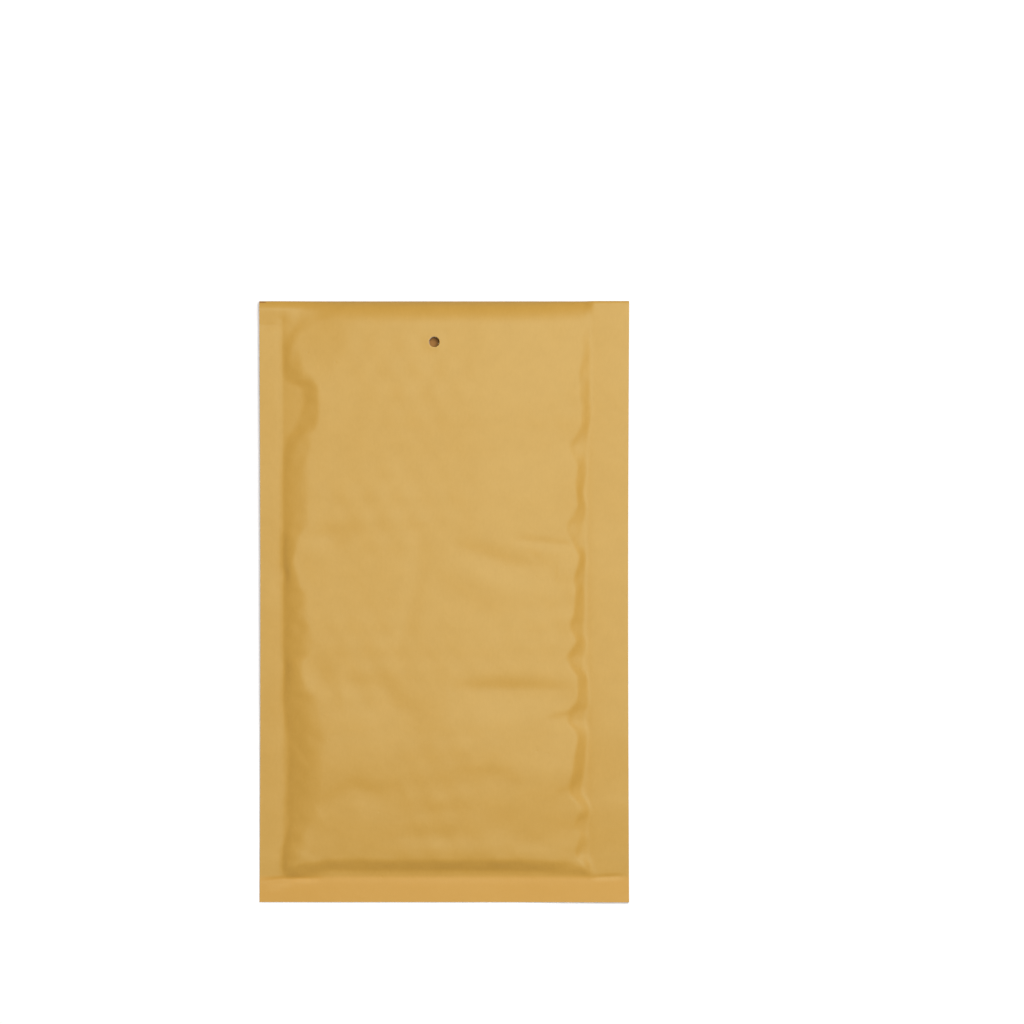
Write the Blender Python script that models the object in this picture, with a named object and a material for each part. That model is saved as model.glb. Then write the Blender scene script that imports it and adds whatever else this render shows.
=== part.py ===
"""Padded envelope: a glued kraft paper pocket, lined with two sheets of bubble film.

It lies on its back, address side up, with its mouth and its sealing flap folded underneath.
Lengths are in metres: X runs across, Y towards the folded mouth, Z up from the surface it lies on.
"""

import math

import bmesh
import bpy

MM = 0.001

# Outline of the closed pocket, whose sides pull in a little halfway along, and its paper
WIDTH = 139 * MM
LENGTH = 226 * MM
SIDE_PULL = 0.4 * MM
PAPER = 0.12 * MM
GAP = 0.3 * MM

# Glued margins, and the flanks that rise from them to the padding
LEFT_SEAM = 8.3 * MM
RIGHT_SEAM = 15.8 * MM
BOTTOM_SEAM = 9.8 * MM
LEFT_FLANK = 10 * MM
RIGHT_FLANK = 5 * MM
BOTTOM_FLANK = 7 * MM

# Mouth, folded under: a two-layer throat, then the front panel's shoulders and flap
THROAT = 18.5 * MM
SHOULDER = 3.4 * MM
FLAP_REACH = 40.8 * MM
THROAT_FROM_FOLD = 1.2 * MM
FLAP_BASE = (-61.2 * MM, 64.2 * MM)
FLAP_TIP = (-54.0 * MM, 58.1 * MM)
BEND = 4 * MM
MOUTH_GAP = 0.3 * MM

# Radius of the folded edge, in the glued margins and over the padding
LEFT_NOSE = 0.9 * MM
RIGHT_NOSE = 0.45 * MM
MIDDLE_NOSE = 1.3 * MM
NOSE_FRONT = 0.9 * MM
NOSE_BACK = 0.6 * MM
NOSE_EASE = 16 * MM

# Heights of the seams and of the two panels above the surface
SEAM_HEIGHT = 2.4 * MM
SEAM_RISE = 60 * MM
BODY_TOP = 6.2 * MM
FOLD_TOP = 6.7 * MM
OVER_FLAP = 1.2 * MM
DRAPE_FROM = 54 * MM
DRAPE_TO = 70 * MM

# Bubble film linings, as slabs of the film's full height; their edges lie one step up the flanks
LINING = 2.4 * MM
LEFT_STEPS = 6
RIGHT_STEPS = 4
BOTTOM_STEPS = 5

# Closure on the flap's inner face
LINER = 0.08 * MM
LINER_FROM_MOUTH = 0.4 * MM
LINER_FROM_SIDES = 0.6 * MM
LINER_FROM_TIP = 3.4 * MM
ADHESIVE = 0.1 * MM
ADHESIVE_ENDS = (-49.5 * MM, 57.0 * MM)
ADHESIVE_WIDTH = 6.8 * MM
ADHESIVE_FROM_TIP = 5.8 * MM

# Punched holes, for the fastener that holds the flap
HOLE = 4 * MM
HOLE_X = -3.7 * MM
FRONT_HOLE_FROM_FOLD = 15.4 * MM
BACK_HOLE_FROM_FOLD = 11.4 * MM
THROAT_HOLE_FROM_FOLD = 10.9 * MM
HOLE_SIDES = 24
# Each punch runs between two heights, clear of the layers that it doesn't cut
FRONT_PUNCH = (3 * MM, 9 * MM)
LINING_PUNCH = (0.9 * MM, 9 * MM)
BACK_PUNCH = (0.9 * MM, 2.5 * MM)
THROAT_PUNCH = (-1 * MM, 0.8 * MM)

# How finely each stretch is divided
FACE_COLUMNS = 14
FACE_ROWS = 13
DRAPE_ROWS = 4
OVER_FLAP_ROWS = 3
EASE_ROWS = 6
BEND_ROWS = 8
THROAT_ROWS = 3
FLAP_ROWS = 3
STRIP_COLUMNS = 8
MERGE = 0.001 * MM

KRAFT = {"name": "kraft paper", "colour": (0.644, 0.402, 0.122), "roughness": 0.7}
FILM = {"name": "clear bubble film", "colour": (0.78, 0.80, 0.80), "roughness": 0.25, "alpha": 0.6}
HOT_MELT = {"name": "hot melt adhesive", "colour": (0.61, 0.34, 0.08), "roughness": 0.3}
RELEASE_PAPER = {"name": "siliconed release paper", "colour": (0.61, 0.52, 0.45), "roughness": 0.35}

LEFT_EDGE = -WIDTH / 2
RIGHT_EDGE = WIDTH / 2
BOTTOM_EDGE = -LENGTH / 2
FOLD = LENGTH / 2
LEFT_FOOT = LEFT_EDGE + LEFT_SEAM
RIGHT_FOOT = RIGHT_EDGE - RIGHT_SEAM
BOTTOM_FOOT = BOTTOM_EDGE + BOTTOM_SEAM
THROAT_START = FOLD - THROAT_FROM_FOLD
THROAT_MIDDLE = PAPER + MOUTH_GAP / 2
MOUTH_EDGE = BEND / 2 + THROAT
SHOULDER_EDGE = MOUTH_EDGE + SHOULDER
FLAP_EDGE = BEND / 2 + FLAP_REACH


def clear_scene():
    for thing in list(bpy.data.objects):
        bpy.data.objects.remove(thing, do_unlink=True)


def material(name, colour, roughness, alpha=1.0):
    made = bpy.data.materials.new(name)
    made.use_nodes = True
    shader = made.node_tree.nodes["Principled BSDF"]
    shader.inputs["Base Color"].default_value = (*colour, 1)
    shader.inputs["Roughness"].default_value = roughness
    shader.inputs["Metallic"].default_value = 0.0
    shader.inputs["Alpha"].default_value = alpha
    return made


def steps(start, end, count):
    """Even steps after start, up to and with end."""
    return [start + (end - start) * (i + 1) / count for i in range(count)]


def mix(a, b, share):
    return a + (b - a) * share


def smooth(share):
    share = min(max(share, 0.0), 1.0)
    return share * share * (3 - 2 * share)


def swell(distance, width):
    """0 at a seam, then a quarter wave up to 1 at the flank's crest."""
    return math.sin(min(max(distance / width, 0.0), 1.0) * math.pi / 2)


def across(x):
    return min(swell(x - LEFT_FOOT, LEFT_FLANK), swell(RIGHT_FOOT - x, RIGHT_FLANK))


def fullness(x, y):
    return min(across(x), swell(y - BOTTOM_FOOT, BOTTOM_FLANK))


def nose_radius(x):
    edge = LEFT_NOSE if x < 0 else RIGHT_NOSE
    return mix(edge, MIDDLE_NOSE, across(x))


def nose_start(x):
    """Where along Y the panels leave their plane to turn under."""
    return FOLD - PAPER - nose_radius(x) - NOSE_FRONT * across(x)


def seam_height(x, y):
    at_fold = THROAT_MIDDLE + 2 * nose_radius(x)
    return mix(at_fold, SEAM_HEIGHT, smooth((nose_start(x) - y) / SEAM_RISE))


def front_rise(x, y):
    """How far the front panel's inner face stands above the seam plane."""
    top = mix(BODY_TOP, FOLD_TOP, smooth((y - DRAPE_FROM) / (DRAPE_TO - DRAPE_FROM)))
    padded = (top - PAPER - seam_height(x, y)) * fullness(x, y)
    easing = smooth((y - nose_start(x) + NOSE_EASE) / NOSE_EASE)
    return mix(padded, NOSE_FRONT * across(x), easing)


def back_drop(x, y):
    """How far the back panel's inner face hangs below the seam plane."""
    under = OVER_FLAP * smooth((y - DRAPE_FROM) / (DRAPE_TO - DRAPE_FROM))
    padded = (seam_height(x, y) - PAPER - under) * fullness(x, y)
    easing = smooth((y - nose_start(x) + NOSE_EASE) / NOSE_EASE)
    return mix(padded, NOSE_BACK * across(x), easing)


def folded(x, along, is_front, outward):
    """A point of the flat blank, put where folding leaves it.

    Along runs up the pocket to 0 where the bend starts, through the bend, and on down the throat
    and the flap. Outward is the distance from the panel's inner face into the paper.
    """
    start = nose_start(x)
    radius = nose_radius(x)
    throat_spread = MOUTH_GAP / 2 * mix(across(x), 1, smooth((along - MOUTH_EDGE) / SHOULDER))
    if along <= 0:
        share = (along + LENGTH) / LENGTH
        y = mix(BOTTOM_EDGE, start, share)
        pulled = x * (1 - SIDE_PULL / RIGHT_EDGE * math.sin(share * math.pi))
        spread = front_rise(x, y) if is_front else back_drop(x, y)
        offset = spread + outward
        return pulled, y, seam_height(x, y) + (offset if is_front else -offset)
    if along < BEND:
        turn = along / BEND
        at_start = NOSE_FRONT if is_front else NOSE_BACK
        offset = mix(at_start * across(x), throat_spread, turn) + outward
        reach = radius + (offset if is_front else -offset)
        angle = turn * math.pi
        return x, start + reach * math.sin(angle), THROAT_MIDDLE + radius + reach * math.cos(angle)
    offset = throat_spread + outward
    straightened = mix(start, THROAT_START, min((along - BEND) / (MOUTH_EDGE - BEND), 1))
    return x, straightened - (along - BEND), THROAT_MIDDLE - (offset if is_front else -offset)


def on_flap(x, along):
    """X on the flap, whose sides run in from the shoulders to the tip."""
    if along <= SHOULDER_EDGE:
        return x
    taper = (along - SHOULDER_EDGE) / (FLAP_EDGE - SHOULDER_EDGE)
    left = mix(FLAP_BASE[0], FLAP_TIP[0], taper)
    right = mix(FLAP_BASE[1], FLAP_TIP[1], taper)
    return mix(left, right, (x - FLAP_BASE[0]) / (FLAP_BASE[1] - FLAP_BASE[0]))


def grid(bm, columns, rows):
    """A flat grid with a line of points at each of the columns and rows."""
    across_count = len(columns) - 1
    along_count = len(rows) - 1
    made = bmesh.ops.create_grid(bm, x_segments=across_count, y_segments=along_count, size=1)
    for vert in made["verts"]:
        column = round((vert.co.x + 1) / 2 * across_count)
        row = round((vert.co.y + 1) / 2 * along_count)
        vert.co = (columns[column], rows[row], 0)
    return made["verts"]


def thicken(bm, faces):
    """Give flat faces a second side; the new points are returned."""
    made = bmesh.ops.extrude_face_region(bm, geom=list(faces))["geom"]
    return [item for item in made if isinstance(item, bmesh.types.BMVert)]


def finish(bm, name, finish_material):
    bmesh.ops.recalc_face_normals(bm, faces=bm.faces)
    mesh = bpy.data.meshes.new(name)
    bm.to_mesh(mesh)
    bm.free()
    made = bpy.data.objects.new(name, mesh)
    made.data.materials.append(finish_material)
    bpy.context.scene.collection.objects.link(made)
    return made


def punch_pin(name, from_fold, span):
    """The punch that cuts one round hole, kept as a guide."""
    bottom, top = span
    bm = bmesh.new()
    bmesh.ops.create_cone(
        bm,
        cap_ends=True,
        segments=HOLE_SIDES,
        radius1=HOLE / 2,
        radius2=HOLE / 2,
        depth=top - bottom,
    )
    bmesh.ops.translate(bm, verts=bm.verts, vec=(HOLE_X, FOLD - from_fold, (top + bottom) / 2))
    pin = finish(bm, name, material(**KRAFT))
    pin.hide_render = True
    pin.display_type = "WIRE"
    return pin


def punch(sheet, pin):
    cut = sheet.modifiers.new("punched hole", "BOOLEAN")
    cut.operation = "DIFFERENCE"
    cut.solver = "EXACT"
    cut.object = pin


def padded_columns():
    """X of each line of points over the padding, from the first step up one flank to the other's."""
    left_crest = LEFT_FOOT + LEFT_FLANK
    right_crest = RIGHT_FOOT - RIGHT_FLANK
    columns = steps(LEFT_FOOT, left_crest, LEFT_STEPS)
    columns += steps(left_crest, right_crest, FACE_COLUMNS)
    return columns + steps(right_crest, RIGHT_FOOT, RIGHT_STEPS)[:-1]


def padded_rows():
    """The same along the blank, which ends where the fold's bend begins."""
    crest = BOTTOM_FOOT + BOTTOM_FLANK
    rows = steps(BOTTOM_FOOT - FOLD, crest - FOLD, BOTTOM_STEPS)
    rows += steps(crest - FOLD, DRAPE_FROM - FOLD, FACE_ROWS)
    rows += steps(DRAPE_FROM - FOLD, DRAPE_TO - FOLD, DRAPE_ROWS)
    rows += steps(DRAPE_TO - FOLD, -NOSE_EASE, OVER_FLAP_ROWS)
    return rows + steps(-NOSE_EASE, 0, EASE_ROWS)[:-1]


def kraft_envelope(pins):
    """One sheet of kraft paper, folded at the mouth and glued along three margins."""
    columns = [LEFT_EDGE, LEFT_FOOT] + padded_columns() + [RIGHT_FOOT, FLAP_BASE[1], RIGHT_EDGE]
    rows = [-LENGTH, BOTTOM_FOOT - FOLD] + padded_rows() + [0] + steps(0, BEND, BEND_ROWS)
    back_rows = rows + steps(BEND, MOUTH_EDGE, THROAT_ROWS)
    front_rows = back_rows + [SHOULDER_EDGE] + steps(SHOULDER_EDGE, FLAP_EDGE, FLAP_ROWS)

    bm = bmesh.new()
    for is_front in (True, False):
        inner = grid(bm, columns, front_rows if is_front else back_rows)
        faces = {face for vert in inner for face in vert.link_faces}
        beside_flap = [face for face in faces if is_beside_flap(face.calc_center_median())]
        bmesh.ops.delete(bm, geom=beside_flap, context="FACES")
        faces = {face for face in faces if face.is_valid}
        outer = thicken(bm, faces)
        glued = [face for face in faces if is_glued(face.calc_center_median())]
        bmesh.ops.delete(bm, geom=glued, context="FACES_ONLY")
        for verts, outward in ((inner, 0.0), (outer, PAPER)):
            for vert in verts:
                if vert.is_valid:
                    x = on_flap(vert.co.x, vert.co.y)
                    vert.co = folded(x, vert.co.y, is_front, outward)
    bmesh.ops.remove_doubles(bm, verts=bm.verts, dist=MERGE)
    envelope = finish(bm, "kraft_envelope", material(**KRAFT))
    for pin in pins:
        punch(envelope, pin)


def is_beside_flap(centre):
    return centre.y > SHOULDER_EDGE and not FLAP_BASE[0] < centre.x < FLAP_BASE[1]


def is_glued(centre):
    in_side_seam = not LEFT_FOOT < centre.x < RIGHT_FOOT
    in_bottom_seam = centre.y < -LENGTH + BOTTOM_SEAM
    return centre.y < MOUTH_EDGE and (in_side_seam or in_bottom_seam)


def lining_faces(x, y):
    """Depth of a lining's two faces below its panel's inner face.

    The film has its full height over the padding, and is pressed thin where the pocket narrows.
    """
    room = front_rise(x, y) + back_drop(x, y)
    clearance = min(GAP, room / 5)
    return clearance, clearance + min(LINING, (room - 3 * clearance) / 2)


def bubble_lining(name, is_front, film, pin):
    """One sheet of bubble film behind a panel, as wide as the pocket inside its seams."""
    bm = bmesh.new()
    against_paper = grid(bm, padded_columns(), padded_rows())
    against_contents = thicken(bm, bm.faces[:])
    for face, verts in enumerate((against_paper, against_contents)):
        for vert in verts:
            x, along, _ = vert.co
            y = folded(x, along, is_front, 0.0)[1]
            vert.co = folded(x, along, is_front, -lining_faces(x, y)[face])
    lining = finish(bm, name, film)
    punch(lining, pin)


def flap_strip(name, columns, rows, narrows, base, thickness, finish_material):
    """A strip across the flap's inner face; one that narrows is cut with the flap's sides."""
    bm = bmesh.new()
    grid(bm, columns, rows)
    beside_flap = [face for face in bm.faces if is_beside_flap(face.calc_center_median())]
    bmesh.ops.delete(bm, geom=beside_flap, context="FACES")
    lower = bm.verts[:]
    upper = thicken(bm, bm.faces[:])
    for verts, height in ((lower, base), (upper, base + thickness)):
        for vert in verts:
            x = on_flap(vert.co.x, vert.co.y) if narrows else vert.co.x
            vert.co = (x, THROAT_START - (vert.co.y - BEND), height)
    finish(bm, name, finish_material)


def build():
    clear_scene()
    front_pin = punch_pin("front_punch", FRONT_HOLE_FROM_FOLD, FRONT_PUNCH)
    lining_pin = punch_pin("lining_punch", FRONT_HOLE_FROM_FOLD, LINING_PUNCH)
    back_pin = punch_pin("back_punch", BACK_HOLE_FROM_FOLD, BACK_PUNCH)
    throat_pin = punch_pin("throat_punch", THROAT_HOLE_FROM_FOLD, THROAT_PUNCH)
    kraft_envelope((front_pin, back_pin, throat_pin))
    film = material(**FILM)
    bubble_lining("front_bubble_lining", True, film, lining_pin)
    bubble_lining("back_bubble_lining", False, film, lining_pin)
    adhesive_base = PAPER + GAP / 2
    liner_base = adhesive_base + ADHESIVE + GAP / 2
    adhesive_tip_side = FLAP_EDGE - ADHESIVE_FROM_TIP
    flap_strip(
        "flap_adhesive",
        [ADHESIVE_ENDS[0]] + steps(*ADHESIVE_ENDS, STRIP_COLUMNS),
        [adhesive_tip_side - ADHESIVE_WIDTH, adhesive_tip_side],
        False,
        adhesive_base,
        ADHESIVE,
        material(**HOT_MELT),
    )
    shoulder_ends = (LEFT_EDGE + LINER_FROM_SIDES, RIGHT_EDGE - LINER_FROM_SIDES)
    flap_strip(
        "release_liner",
        [shoulder_ends[0], FLAP_BASE[0]] + steps(*FLAP_BASE, STRIP_COLUMNS) + [shoulder_ends[1]],
        [MOUTH_EDGE + LINER_FROM_MOUTH, SHOULDER_EDGE, FLAP_EDGE - LINER_FROM_TIP],
        True,
        liner_base,
        LINER,
        material(**RELEASE_PAPER),
    )


build()
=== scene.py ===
"""A padded envelope lying on its back: gold kraft paper panels, bubble film linings and a folded flap.

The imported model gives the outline, and every visible surface is modelled here. Shapes are worked out
in millimetres, X across, Y towards the folded mouth and Z up, and their meshes are in metres.
"""

import math

import bmesh
import bpy
import numpy as np
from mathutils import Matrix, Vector


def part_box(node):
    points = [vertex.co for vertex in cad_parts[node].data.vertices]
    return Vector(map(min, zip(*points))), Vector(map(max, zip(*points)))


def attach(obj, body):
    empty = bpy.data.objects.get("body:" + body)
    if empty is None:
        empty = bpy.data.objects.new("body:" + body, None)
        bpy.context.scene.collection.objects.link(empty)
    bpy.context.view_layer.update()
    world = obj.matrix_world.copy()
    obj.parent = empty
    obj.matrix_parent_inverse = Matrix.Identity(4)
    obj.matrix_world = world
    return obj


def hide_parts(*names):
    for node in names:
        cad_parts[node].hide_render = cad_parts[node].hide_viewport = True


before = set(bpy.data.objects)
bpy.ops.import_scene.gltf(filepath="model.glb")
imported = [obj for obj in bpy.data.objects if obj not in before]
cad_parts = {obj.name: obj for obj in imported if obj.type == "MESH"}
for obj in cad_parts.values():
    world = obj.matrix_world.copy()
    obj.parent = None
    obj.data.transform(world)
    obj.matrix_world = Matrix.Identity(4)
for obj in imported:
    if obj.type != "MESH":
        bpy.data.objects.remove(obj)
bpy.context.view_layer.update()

# Address panel and flap
# One web of gold kraft paper, glued to the back panel along its sides and bottom. It turns under at
# the folded mouth, and runs on behind as the throat and the tapered sealing flap.

MM = 0.001
low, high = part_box("kraft_envelope")
LEFT_EDGE = low[0] / MM
RIGHT_EDGE = high[0] / MM
BOTTOM_EDGE = low[1] / MM
FOLD_EDGE = high[1] / MM
PAPER = 0.12
GLUE_LINE = 0.01
TWO_LAYERS = 2 * PAPER + GLUE_LINE
BUBBLE_PITCH = 11.0

# Where the glued margins end and the padding's flanks start
LEFT_FOOT = LEFT_EDGE + 8.7
RIGHT_FOOT = RIGHT_EDGE - 15.6
BOTTOM_FOOT = BOTTOM_EDGE + 9.6
PADDED_TOP = 6.2

FLAP_TIP_Y = 73
MOUTH_Y = 95.3
SHOULDER_Y = 91.9
FLAP_BASE = (-61.2, 64.2)
FLAP_TIP = (-54.0, 58.1)
HOLE_RADIUS = 2.0
HOLE_X = -3.7
FRONT_HOLE_Y = FOLD_EDGE - 15.4
BACK_HOLE_Y = FRONT_HOLE_Y + 4.0
THROAT_HOLE_Y = FOLD_EDGE - 10.9

# The front web's way round the folded mouth: it rolls off over the padding's end, then turns under.
# A place on the blank is Y up to the roll-off, and runs on as a length of paper past it.
ROLL_LENGTH = 10.0
PADDED_EDGE = 1.3
MARGIN_DROP = 0.5
UNDER_REACH = 0.5
ROLL_FROM = FOLD_EDGE - ROLL_LENGTH
ROLL_TO = ROLL_FROM + 12.3
UNDER_TO = ROLL_TO + 1.6
# The back web turns inside it, more tightly.
BACK_BEND_FROM = FOLD_EDGE - 1.0
BACK_BEND_TO = BACK_BEND_FROM + 1.6
BACK_REACH = 0.65


def smooth(share):
    share = np.clip(share, 0, 1)
    return share * share * (3 - 2 * share)


def quarter_wave(share):
    return np.sin(np.clip(share, 0, 1) * np.pi / 2)


def mix(a, b, share):
    return a + (b - a) * share


def between(place, stations):
    """Values that pass from one station to the next; a station is a place and its values."""
    table = np.array(sorted(stations), dtype=float)
    step = np.clip(np.searchsorted(table[:, 0], place) - 1, 0, len(table) - 2)
    share = np.clip((place - table[step, 0]) / (table[step + 1, 0] - table[step, 0]), 0, 1)
    eased = mix(share, smooth(share), 0.6)
    return [mix(column[step], column[step + 1], eased) for column in table[:, 1:].T]


def groove(x, y, points, width, depth, left_width=None):
    """A crease along a line of points: deepest on the line, fading at its ends and to its sides.

    A second width, for the side left of the line's direction, makes the two sides differ.
    """
    nearest = np.full(np.shape(x), 1e9)
    shape = np.zeros(np.shape(x))
    lengths = [math.dist(a, b) for a, b in zip(points, points[1:])]
    done = 0.0
    for (ax, ay), (bx, by), length in zip(points, points[1:], lengths):
        dx, dy = (bx - ax) / length, (by - ay) / length
        at = np.clip((x - ax) * dx + (y - ay) * dy, 0, length)
        off = np.hypot(x - ax - at * dx, y - ay - at * dy)
        is_left = dx * (y - ay) - dy * (x - ax) > 0
        wide = np.where(is_left, left_width or width, width)
        fade = np.maximum(np.sin(np.pi * (done + at) / sum(lengths)), 0) ** 0.6
        here = depth * fade * np.exp(-((off / wide) ** 2))
        shape = np.where(off < nearest, here, shape)
        nearest = np.minimum(nearest, off)
        done += length
    return shape


def dent(x, y, centre, size, depth, turn=0.0):
    """A soft oval hollow, or a bump if its depth is positive; turn is in degrees."""
    c, s = math.cos(math.radians(turn)), math.sin(math.radians(turn))
    dx, dy = x - centre[0], y - centre[1]
    u = (dx * c + dy * s) / size[0]
    v = (dy * c - dx * s) / size[1]
    return depth * np.exp(-(u * u + v * v))


def undulation(x, y, seed, wavelength, height):
    """A gentle unevenness with no direction, from a few waves drawn with a fixed seed."""
    draw = np.random.default_rng(seed)
    total = np.zeros(np.shape(x))
    waves = 14
    for _ in range(waves):
        direction = draw.uniform(0, np.pi)
        phase = draw.uniform(0, 2 * np.pi)
        wave = 2 * np.pi / (wavelength * draw.uniform(0.7, 1.5))
        total += np.cos((x * math.cos(direction) + y * math.sin(direction)) * wave + phase)
    return height * total / math.sqrt(waves / 2)


# The height of the seam at the two sides: y, left, right. No height shows from above, so these are
# guesses that shade the margins as in the photograph. The flanks' places, in the three lists below,
# were read off enlarged views of it and corrected to match its brightness.
SEAM = [
    (-113, 0.7, 2.4), (-104, 0.8, 2.5), (-95, 0.9, 2.8), (-75, 1.5, 3.9), (-50, 2.0, 4.4),
    (-25, 2.8, 4.2), (0, 3.1, 4.2), (30, 3.4, 4.2), (60, 3.5, 4.5), (80, 3.6, 4.8),
    (94, 3.6, 4.5), (104, 3.5, 4.7), (113, 3.5, 4.8),
]
# The left flank up the panel: y, the x where it turns steep, the x of its crest, and the share of
# its height that it has gained before it turns steep
LEFT_FLANK = [
    (113, -60.8, -36, 0), (108, -60.8, -42, 0), (104, -60.8, -49, 0), (101, -60.8, -53.5, 0),
    (96, -60.8, -55.2, 0), (92, -60.6, -54.2, 0), (88, -60.6, -52.6, 0), (84, -59.6, -49.6, 0.1),
    (80, -53.5, -47.8, 0.35), (75, -52.5, -47.5, 0.4), (70, -54.5, -47.5, 0.3),
    (65, -56.5, -48.5, 0.2), (62, -59, -50, 0.1), (55, -60.6, -50.7, 0), (45, -61, -51.2, 0),
    (33, -61, -51, 0), (28, -60.8, -51.3, 0), (26, -61, -53, 0), (24, -61, -54.5, 0),
    (20, -61, -55.6, 0), (15, -61, -56.7, 0), (10, -60.1, -55.2, 0), (6, -60.6, -54.4, 0),
    (2, -60.8, -51.6, 0), (-6, -60.8, -51.9, 0), (-11, -60.8, -50, 0), (-16, -60.8, -49, 0),
    (-20, -60.6, -50, 0), (-23, -60.2, -53.3, 0), (-29, -60.4, -53, 0), (-33, -60.8, -51, 0),
    (-37, -60.8, -47.8, 0), (-45, -59.9, -46.5, 0), (-53, -58.9, -44, 0.04),
    (-60, -58.9, -46, 0.04), (-70, -59.3, -46, 0), (-75, -59.3, -47, 0.05),
    (-82, -58.8, -48.5, 0.08), (-88, -59.6, -51.5, 0), (-93, -61, -51.5, 0), (-96, -61, -53, 0),
    (-100, -61, -55, 0),
]
# The right flank: y, the x of its crest, the x of its foot, and how full the padding is beside it
RIGHT_FLANK = [
    (104, 52.5, 55.5, 0.3), (95, 51, 55.8, 0.5), (85, 51, 55.4, 0.45), (77, 50.8, 55.5, 0.7),
    (72, 51.8, 55.7, 0.9), (67, 51.5, 55.3, 0.9), (64, 52, 54, 0.6), (60, 47, 55, 0.35),
    (57, 46, 54, 0.35), (53, 50.5, 53.6, 0.9), (47, 50.3, 53.5, 1.1), (43, 49.3, 52.5, 1),
    (40, 49.4, 52, 0.9), (37.5, 50.7, 53.4, 0.9), (34.5, 51.8, 53.8, 0.5), (31, 46.5, 53, 0.5),
    (27, 46, 52.5, 0.4), (22, 48, 53, 0.4), (18, 51.2, 53.5, 0.7), (15, 51, 53.2, 0.9),
    (12, 50, 53.3, 1), (7, 49, 52.9, 1), (0, 49.4, 53, 1.1), (-7, 49, 53, 1),
    (-10.5, 46, 52.3, 0.8), (-13, 50, 53, 0.8), (-16, 50.8, 54, 0.7), (-19, 46.5, 53.2, 0.9),
    (-23, 45, 51.5, 0.6), (-26, 50.7, 54, 0.7), (-31, 50, 54.4, 1), (-37, 50.4, 55, 1),
    (-40.5, 48.5, 54.5, 1), (-43, 44.5, 51.5, 0.8), (-46.5, 47.5, 54, 0.55), (-50, 50.5, 54.5, 0.6),
    (-55, 50.3, 53.4, 0.9), (-61, 48.6, 53.2, 0.9), (-67, 48.2, 52.4, 0.9), (-72, 46.3, 51, 0.7),
    (-74.5, 48.5, 54, 0.5), (-77, 52.6, 56, 0.65), (-81, 50.6, 54.6, 0.9), (-84.5, 48, 53, 0.5),
    (-87, 50, 54.5, 0.3), (-90, 51.6, 54.7, 0.8), (-93.5, 48.5, 53.4, 0.8), (-97, 50, 55.5, 0.4),
    (-101, 54, 57, 0.3),
]
# The bottom flank along the foot: x, the y where it turns steep, and the y of its crest
BOTTOM_FLANK = [
    (-61, -103.2, -97), (-57, -103.3, -93), (-50, -102.2, -89), (-42, -101, -89.5),
    (-30, -101.2, -89.5), (-20, -101.2, -90), (0, -101.2, -90.5), (12, -101.2, -90.5),
    (25, -101.3, -90.5), (35, -101.3, -92), (45, -102, -94.5), (50, -102.4, -98),
    (55, -103, -101), (58, -103.4, -102),
]
# How much the left flank bulges, and how the bottom one rises: a share of its height before it
# turns steep, a steep part this wide, and a share that comes on gently up to its crest
LEFT_BULGE = 0.8
BOTTOM_BEFORE = 0.1
BOTTOM_RISE = 4
BOTTOM_GENTLE = 0.38
# The paper rounds its bends over about this length
ROUNDING = 0.35


def soft(distance):
    """A distance that is 0 before its start, with the corner there rounded."""
    return ROUNDING * np.logaddexp(0, distance / ROUNDING)


def ramp(distance, width, bulge=0):
    """A rise from 0 to 1 over a width: straight, or with a bulge of 1 steepest at its foot."""
    width = np.maximum(width, 1)
    straight = (soft(distance) - soft(distance - width)) / width
    bulging = 1 - (1 - np.minimum(soft(distance) / width, 1)) ** 2
    return mix(straight, bulging, bulge)


def right_flank(y):
    """The right flank's crest, foot and fullness, with its pinches softened."""
    nearby = [between(y + step, RIGHT_FLANK) for step in (-2.6, -0.9, 0.9, 2.6)]
    return np.mean(nearby, axis=0)


def padding_share(x, y):
    """0 in the glued margins, 1 over the padding, with the flanks between."""
    steep, crest, before = between(y, LEFT_FLANK)
    bulge = LEFT_BULGE * (1 - smooth(before / 0.3))
    foot = ramp(x - LEFT_FOOT, steep - LEFT_FOOT)
    left = mix(ramp(x - steep, crest - steep, bulge), foot, before)
    crest, foot, _ = right_flank(y)
    right = ramp(foot - x, foot - crest)
    steep, crest = between(x, BOTTOM_FLANK)
    above = mix(ramp(y - steep, BOTTOM_RISE), ramp(y - steep, crest - steep, 1), BOTTOM_GENTLE)
    bottom = mix(above, ramp(y - BOTTOM_FOOT, steep - BOTTOM_FOOT), BOTTOM_BEFORE)
    return left * right * bottom


def over_padding(x):
    """1 over the padding and 0 in the glued side margins, for what lies flat across them."""
    edge = 12
    return quarter_wave((x - LEFT_FOOT) / edge) * quarter_wave((RIGHT_FOOT - x) / edge)


def rolled_off(z, edge, length, y):
    """Bring a height down to its value at the folded edge, along a quarter of an ellipse."""
    share = np.clip(1 - (FOLD_EDGE - y) / length, 0, 1)
    return edge + (z - edge) * np.sqrt(1 - share * share)


def corner_lift(x, y):
    """The top left corner curls up past a crease across it."""
    crease = 104.5
    slope = 0.12
    return slope * soft(y - crease) * smooth((-44 - x) / 14)


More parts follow.
